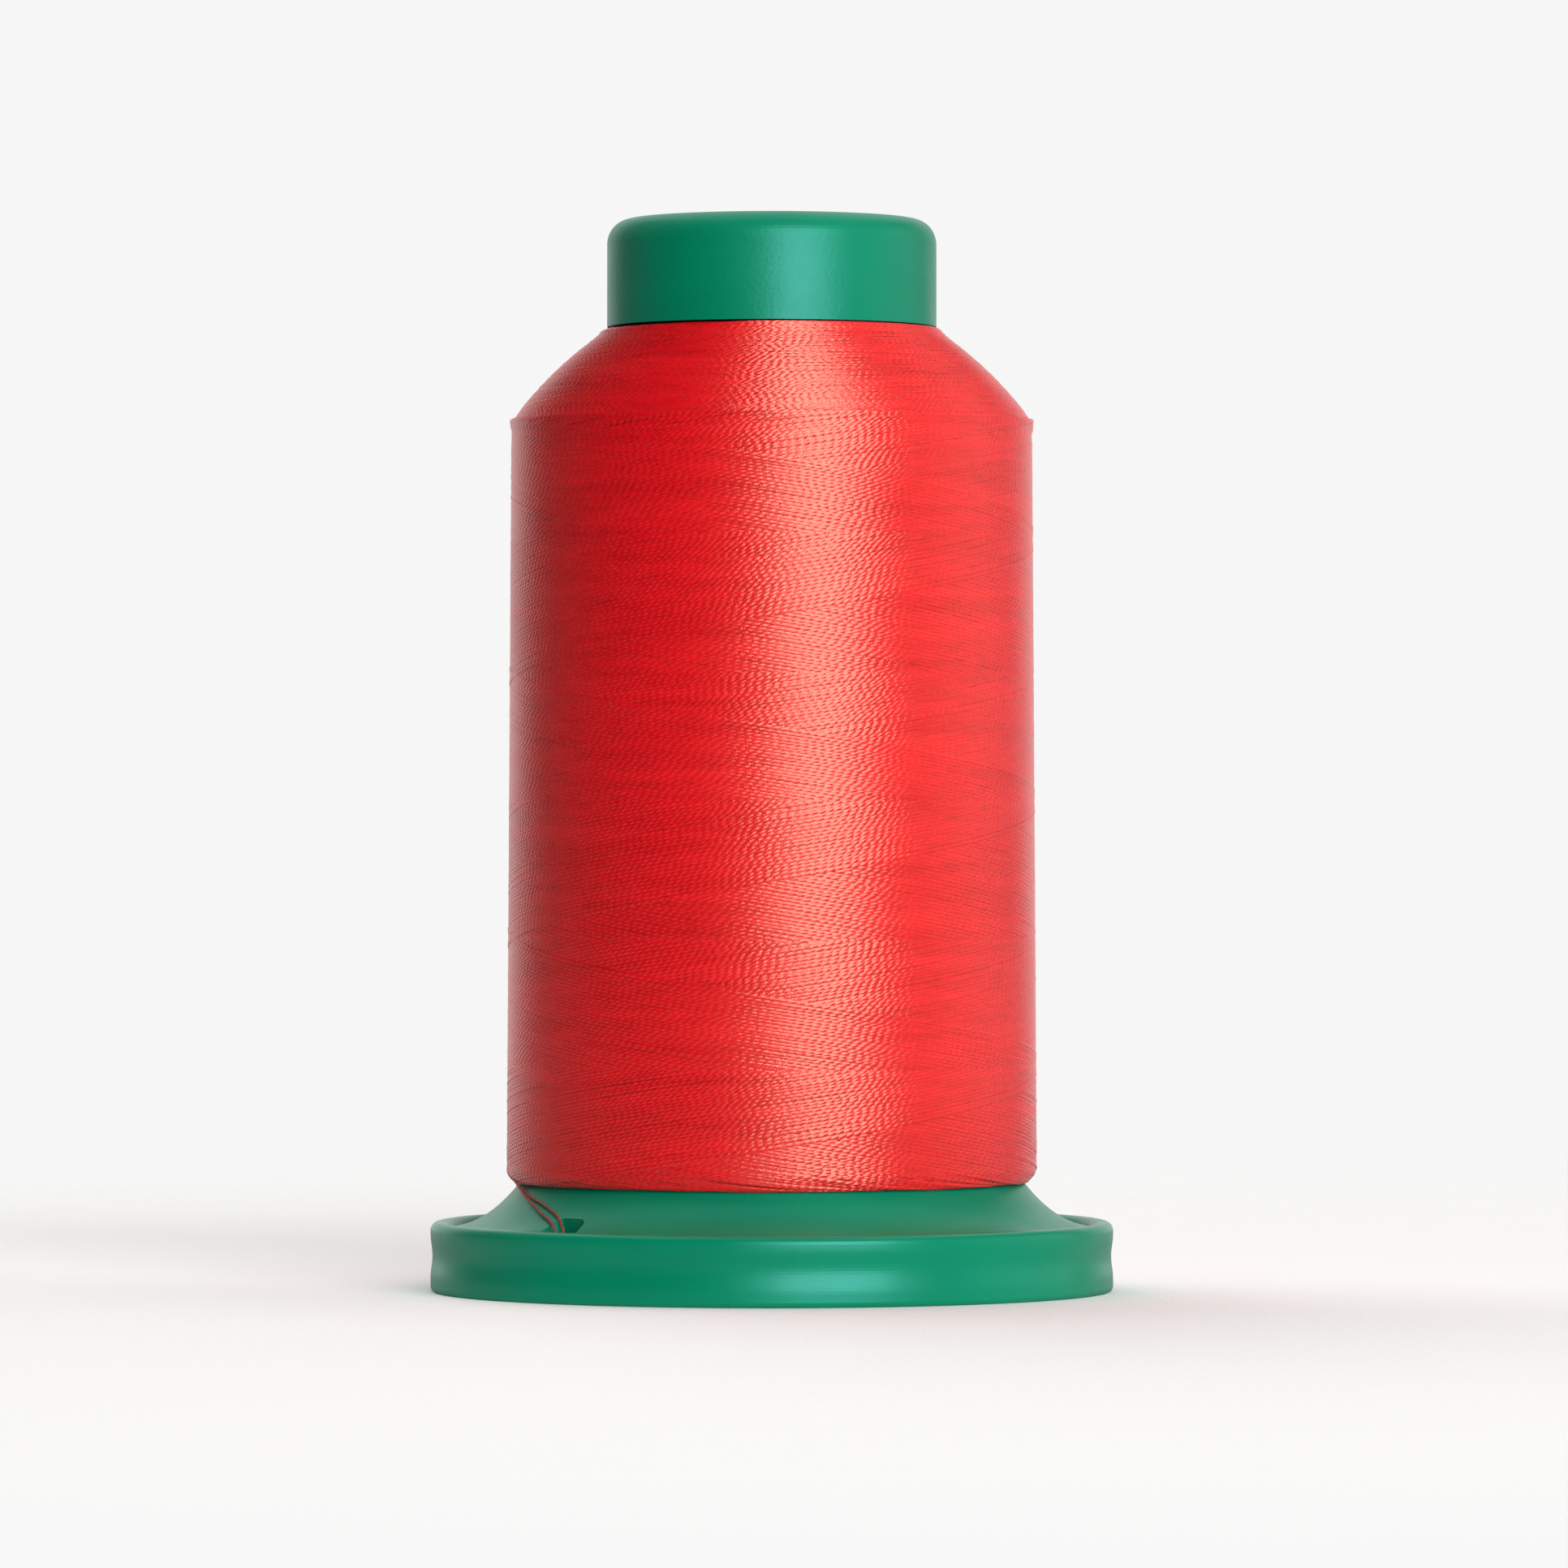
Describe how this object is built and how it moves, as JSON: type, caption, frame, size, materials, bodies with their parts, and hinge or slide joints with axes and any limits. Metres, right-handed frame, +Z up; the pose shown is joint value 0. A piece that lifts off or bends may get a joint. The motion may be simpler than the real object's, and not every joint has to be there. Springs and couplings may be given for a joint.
{
  "type": "spool of thread",
  "caption": "Upright snap-base spool of embroidery thread: moulded core with a round head, cross-wound thread package with a sloping shoulder, and a wide foot that opens to lock the tail.",
  "frame": {"origin": "centre of the foot, on the surface that the spool stands on", "axes": "+Z up along the spool's axis; -Y is the front, which faces the picture's camera; the tail notch is 44 degrees from the front towards -X"},
  "size_m": [0.052, 0.052, 0.0816],
  "materials": {
    "base_plastic": "glossy moulded polypropylene, green",
    "core_plastic": "moulded polypropylene, green, fine spark-eroded grain on the head",
    "thread": "bright trilobal polyester thread, cross wound, coral red",
    "thread_tail": "bright two-ply polyester thread, coral red",
    "label_paper": "uncoated white paper, blank"
  },
  "bodies": {
    "base": {"snap_base": "base_plastic", "shade_label": "label_paper"},
    "spool": {"spool_core": "core_plastic", "thread_package": "thread", "finish_tail": "thread_tail", "start_tail": "thread_tail"}
  },
  "joints": [
    {"name": "base_snap", "type": "slide", "parent": "base", "child": "spool", "axis": [0, 0, 1], "range_m": [0, 0.003]}
  ]
}
